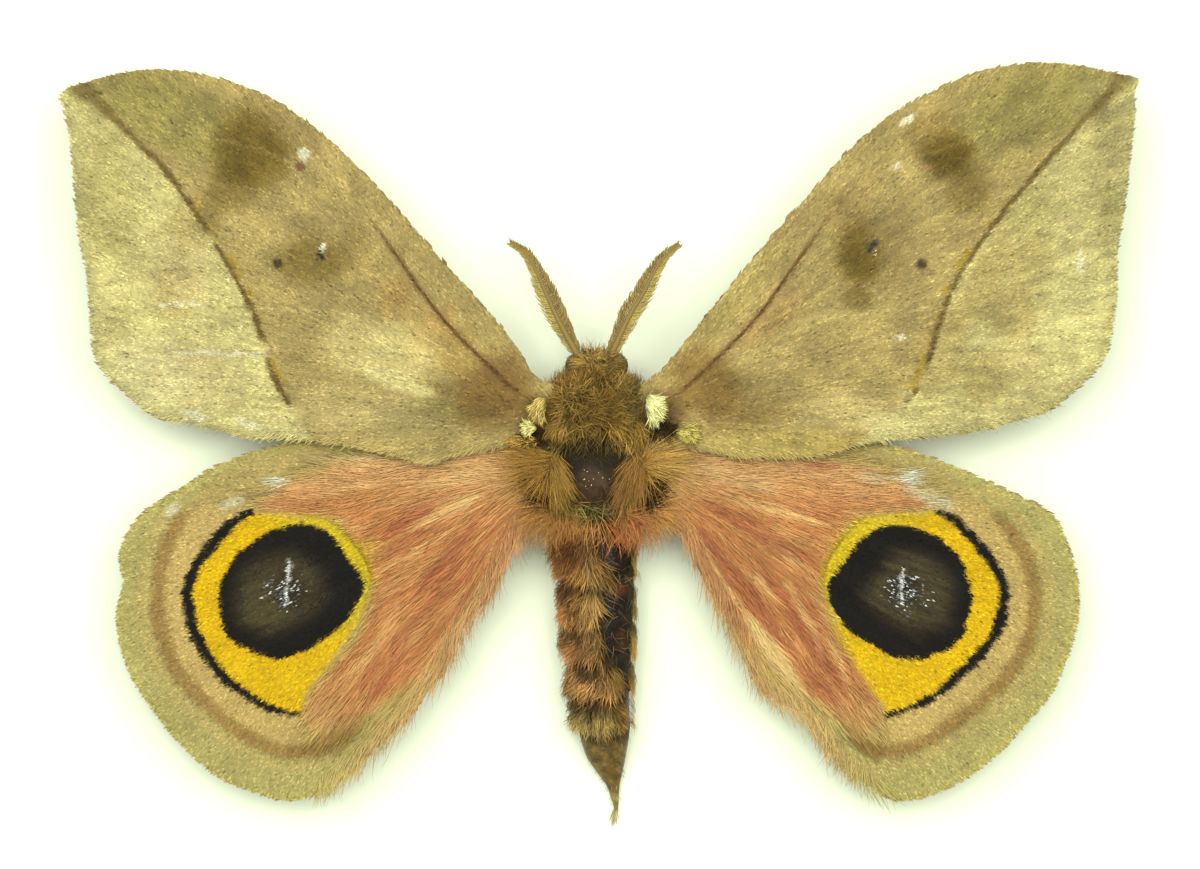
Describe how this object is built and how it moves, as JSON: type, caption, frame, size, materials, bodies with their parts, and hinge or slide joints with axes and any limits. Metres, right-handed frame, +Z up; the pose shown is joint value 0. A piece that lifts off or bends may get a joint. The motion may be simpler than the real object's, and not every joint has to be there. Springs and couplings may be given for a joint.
{
  "type": "spread silk moth specimen (automeris zugana)",
  "caption": "Spread silk moth specimen with broad tan forewings, eyespotted pink hindwings, hairy thorax, segmented abdomen and feathered antennae.",
  "frame": {"origin": "on the surface it lies on, under the middle of the wingspan", "axes": "+X to the moth's right wing tip, +Y towards its head, +Z up from its back"},
  "size_m": [0.0918, 0.0651, 0.0088],
  "materials": {
    "forewing": "velvety tan-olive wing scales with a dark postmedian line and a brown discal spot",
    "hindwing": "velvety pink-orange wing scales with a large black and yellow eyespot",
    "body_hair": "long golden-brown hair over a glossy red-brown shell",
    "abdomen_hair": "pink-brown hair tufts over a glossy dark red-brown shell",
    "antenna": "matt ochre",
    "eye": "glossy near-black, finely faceted",
    "leg": "short woolly red-brown hair"
  },
  "bodies": {
    "root": {"head": "body_hair", "eye_left": "eye", "eye_right": "eye", "antenna_left": "antenna", "antenna_right": "antenna", "thorax": "body_hair", "abdomen": "abdomen_hair", "forewing_left": "forewing", "forewing_right": "forewing", "hindwing_left": "hindwing", "hindwing_right": "hindwing", "leg_fore_left": "leg", "leg_fore_right": "leg", "leg_mid_left": "leg", "leg_mid_right": "leg", "leg_hind_left": "leg", "leg_hind_right": "leg"}
  },
  "joints": []
}
